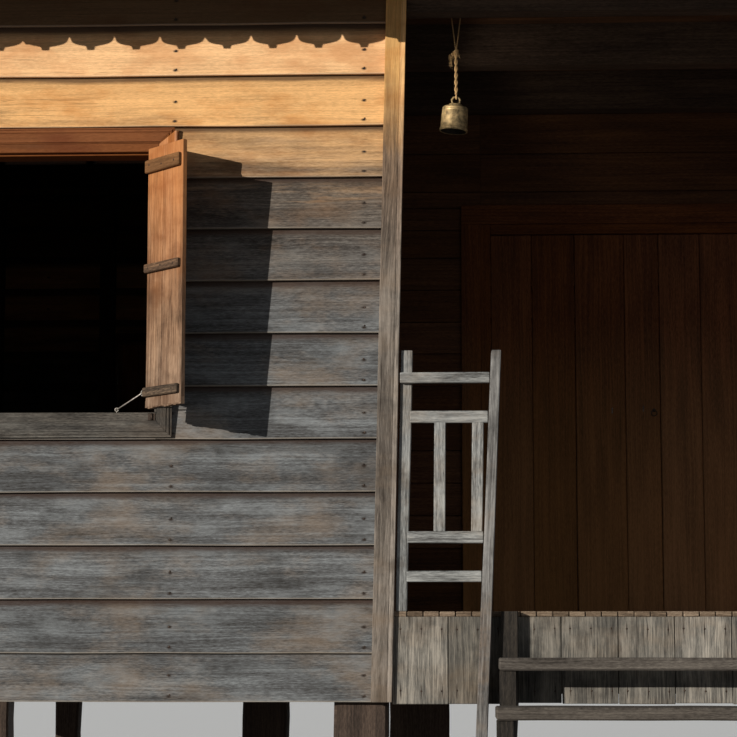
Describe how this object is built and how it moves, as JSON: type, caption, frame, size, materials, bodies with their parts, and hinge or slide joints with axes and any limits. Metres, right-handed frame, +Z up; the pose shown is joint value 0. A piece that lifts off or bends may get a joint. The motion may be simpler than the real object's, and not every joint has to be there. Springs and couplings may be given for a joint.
{
  "type": "stilt house",
  "caption": "Timber stilt house with lapped-board wings round a recessed veranda, folding door, folding shutters, open stair, hung bell and hipped roof.",
  "frame": {"origin": "middle of the whole house's plan, stair and eaves included, on the ground under the stilts", "axes": "+Z up, +X along the front to the right as seen from the stair, -Y out of the front"},
  "size_m": [10.35, 8.455, 6.6788],
  "materials": {
    "weathered_boards": "weathered silver-grey boards, tan under the eave",
    "inner_boards": "dark red-brown sheltered boards",
    "frame_timber": "brown squared timber with cracks",
    "window_timber": "red-brown to grey moulded casing",
    "shutter_timber": "orange-brown weathered boards",
    "door_timber": "dark red-brown planks",
    "silver_timber": "silver-grey weathered timber",
    "stair_timber": "dark grey-brown worn timber",
    "roof_tile": "matt weathered clay tile",
    "bell_metal": "dull tarnished bronze",
    "rope_fibre": "pale tan twisted fibre",
    "iron": "dark forged iron"
  },
  "bodies": {
    "house": {"front_wall_left": "weathered_boards", "front_wall_right": "weathered_boards", "side_wall_left": "weathered_boards", "side_wall_right": "weathered_boards", "rear_wall": "weathered_boards", "front_frieze": "weathered_boards", "corner_boards": "weathered_boards", "outer_corner_boards": "weathered_boards", "veranda_skirt": "weathered_boards", "veranda_floor": "weathered_boards", "veranda_side_walls": "inner_boards", "hall_wall_sides": "inner_boards", "hall_wall_over_door": "inner_boards", "veranda_ceiling": "inner_boards", "room_floor": "inner_boards", "stilts": "frame_timber", "floor_beams": "frame_timber", "floor_joists": "frame_timber", "wall_posts": "frame_timber", "wall_plates": "frame_timber", "veranda_beams": "frame_timber", "rafters": "frame_timber", "hip_rafters_and_ridge": "frame_timber", "front_window_frames": "window_timber", "side_window_frames": "window_timber", "rear_window_frames": "window_timber", "front_shutters": "shutter_timber", "side_shutters": "shutter_timber", "rear_shutters": "shutter_timber", "door_frame": "door_timber", "door_leaves": "door_timber", "railing_left": "silver_timber", "railing_right": "silver_timber", "stair_planks": "silver_timber", "long_eave_boards": "silver_timber", "end_eave_boards": "silver_timber", "stair_stringers": "stair_timber", "stair_treads": "stair_timber", "roof_slope_front": "roof_tile", "roof_slope_rear": "roof_tile", "roof_hips": "roof_tile", "roof_caps": "roof_tile", "bell_bar": "iron", "shutter_stays": "iron", "door_ring_pull": "iron"},
    "bell": {"bell": "bell_metal", "bell_rope": "rope_fibre"}
  },
  "joints": [
    {"name": "bell_swing", "type": "hinge", "parent": "house", "child": "bell", "pos_m": [-1.032, -2.1975, 4.225], "axis": [1, 0, 0], "range_deg": [-30, 30]}
  ]
}
